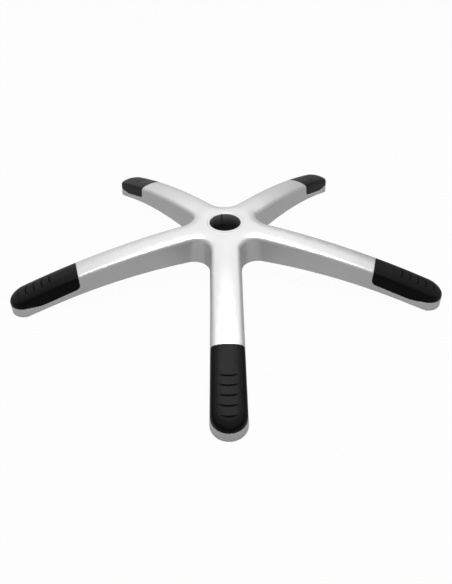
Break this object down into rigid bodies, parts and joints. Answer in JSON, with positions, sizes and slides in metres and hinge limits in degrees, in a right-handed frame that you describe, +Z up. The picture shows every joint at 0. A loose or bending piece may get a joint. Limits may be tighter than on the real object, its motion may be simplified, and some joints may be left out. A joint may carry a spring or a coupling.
{
  "type": "office chair five star base",
  "caption": "Cast star base for an office chair: drooping arms from a hub with a taper socket for the gas lift, black grip pads on the arm tips and caster sockets underneath.",
  "frame": {"origin": "centre of the lift socket's mouth, in the plane of the hub's top", "axes": "+Z up along the lift socket, the front arm points to -Y, +X to the right of it; the arm tips stand at z = -0.085"},
  "size_m": [0.6584, 0.6286, 0.085],
  "materials": {
    "casting": "satin silver coat on cast aluminium",
    "sleeve": "turned, dull grey",
    "foot_pad": "moulded black, fine grain"
  },
  "bodies": {
    "root": {"star_base": "casting", "taper_sleeve": "sleeve", "foot_pad_front": "foot_pad", "foot_pad_right_front": "foot_pad", "foot_pad_right_back": "foot_pad", "foot_pad_left_back": "foot_pad", "foot_pad_left_front": "foot_pad"}
  },
  "joints": []
}
